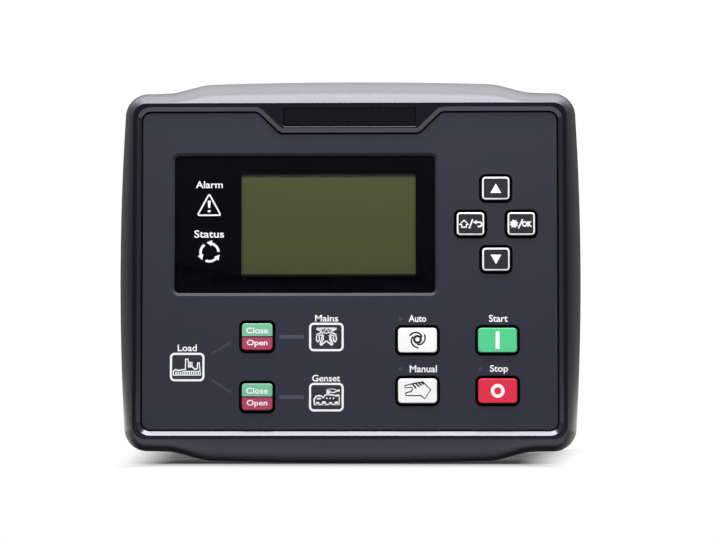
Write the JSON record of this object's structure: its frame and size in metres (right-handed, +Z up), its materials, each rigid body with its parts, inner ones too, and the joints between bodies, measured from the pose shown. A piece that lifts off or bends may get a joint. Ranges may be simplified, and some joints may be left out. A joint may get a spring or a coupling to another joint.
{
  "type": "generating-set controller",
  "caption": "Panel-mounted generator controller with a flared black bezel, recessed fascia with rubber keys and a display, and a stepped rear housing with plug-in terminals.",
  "frame": {"origin": "centre of the bezel's back face, in the plane where it meets the panel", "axes": "+X to the right and +Z up as the user sees the front, +Y into the panel; the front faces -Y"},
  "size_m": [0.209, 0.045, 0.173],
  "materials": {
    "bezel_black": "fine satin moulding",
    "housing_black": "fine satin moulding",
    "badge_gloss": "polished",
    "seal_rubber": "matt",
    "fascia_slate": "fine satin print",
    "lens_clear": "polished",
    "mask_black": "smooth print",
    "lcd_olive": "smooth",
    "diffuser_white": "smooth",
    "light_guide": "frosted",
    "key_slate": "satin",
    "key_two_colour": "satin, green above and red below",
    "key_white": "satin",
    "key_green": "satin",
    "key_red": "satin",
    "mat_rubber": "matt",
    "board_green": "solder mask",
    "chip_black": "matt",
    "relay_blue": "smooth",
    "steel": "plated",
    "terminal_green": "smooth"
  },
  "bodies": {
    "controller": {"bezel": "bezel_black", "badge_plate": "badge_gloss", "panel_seal": "seal_rubber", "fascia": "fascia_slate", "display_lens": "lens_clear", "screen_mask": "mask_black", "display_gasket": "seal_rubber", "lcd_glass": "lcd_olive", "lcd_backlight": "diffuser_white", "lcd_frame": "steel", "mimic_light_bars": "light_guide", "lamp_light_guides": "light_guide", "key_mat": "mat_rubber", "front_board": "board_green", "board_leds": "diffuser_white", "processor": "chip_black", "board_link": "chip_black", "board_spacers": "steel", "board_screws": "steel", "io_board": "board_green", "relays": "relay_blue", "capacitors": "chip_black", "current_sensors": "relay_blue", "data_socket": "steel", "header_1": "terminal_green", "header_2": "terminal_green", "header_3": "terminal_green", "header_4": "terminal_green", "plug_1": "terminal_green", "plug_2": "terminal_green", "plug_3": "terminal_green", "plug_4": "terminal_green", "plug_screws_1": "steel", "plug_screws_2": "steel", "plug_screws_3": "steel", "plug_screws_4": "steel", "rear_housing": "housing_black", "case_screws": "steel"},
    "up_key": {"key_up": "key_slate"},
    "down_key": {"key_down": "key_slate"},
    "home_key": {"key_home": "key_slate"},
    "ok_key": {"key_ok": "key_slate"},
    "mains_breaker_key": {"key_mains_breaker": "key_two_colour"},
    "gen_breaker_key": {"key_gen_breaker": "key_two_colour"},
    "auto_key": {"key_auto": "key_white"},
    "manual_key": {"key_manual": "key_white"},
    "start_key": {"key_start": "key_green"},
    "stop_key": {"key_stop": "key_red"}
  },
  "joints": [
    {"name": "press_up", "type": "slide", "parent": "controller", "child": "up_key", "axis": [0, 1, 0], "range_m": [0, 0.0009], "stiffness_N_per_m": 900, "deforming": ["key_mat"]},
    {"name": "press_down", "type": "slide", "parent": "controller", "child": "down_key", "axis": [0, 1, 0], "range_m": [0, 0.0009], "stiffness_N_per_m": 900, "deforming": ["key_mat"]},
    {"name": "press_home", "type": "slide", "parent": "controller", "child": "home_key", "axis": [0, 1, 0], "range_m": [0, 0.0009], "stiffness_N_per_m": 900, "deforming": ["key_mat"]},
    {"name": "press_ok", "type": "slide", "parent": "controller", "child": "ok_key", "axis": [0, 1, 0], "range_m": [0, 0.0009], "stiffness_N_per_m": 900, "deforming": ["key_mat"]},
    {"name": "press_mains_breaker", "type": "slide", "parent": "controller", "child": "mains_breaker_key", "axis": [0, 1, 0], "range_m": [0, 0.0009], "stiffness_N_per_m": 900, "deforming": ["key_mat"]},
    {"name": "press_gen_breaker", "type": "slide", "parent": "controller", "child": "gen_breaker_key", "axis": [0, 1, 0], "range_m": [0, 0.0009], "stiffness_N_per_m": 900, "deforming": ["key_mat"]},
    {"name": "press_auto", "type": "slide", "parent": "controller", "child": "auto_key", "axis": [0, 1, 0], "range_m": [0, 0.0009], "stiffness_N_per_m": 900, "deforming": ["key_mat"]},
    {"name": "press_manual", "type": "slide", "parent": "controller", "child": "manual_key", "axis": [0, 1, 0], "range_m": [0, 0.0009], "stiffness_N_per_m": 900, "deforming": ["key_mat"]},
    {"name": "press_start", "type": "slide", "parent": "controller", "child": "start_key", "axis": [0, 1, 0], "range_m": [0, 0.0009], "stiffness_N_per_m": 900, "deforming": ["key_mat"]},
    {"name": "press_stop", "type": "slide", "parent": "controller", "child": "stop_key", "axis": [0, 1, 0], "range_m": [0, 0.0009], "stiffness_N_per_m": 900, "deforming": ["key_mat"]}
  ]
}
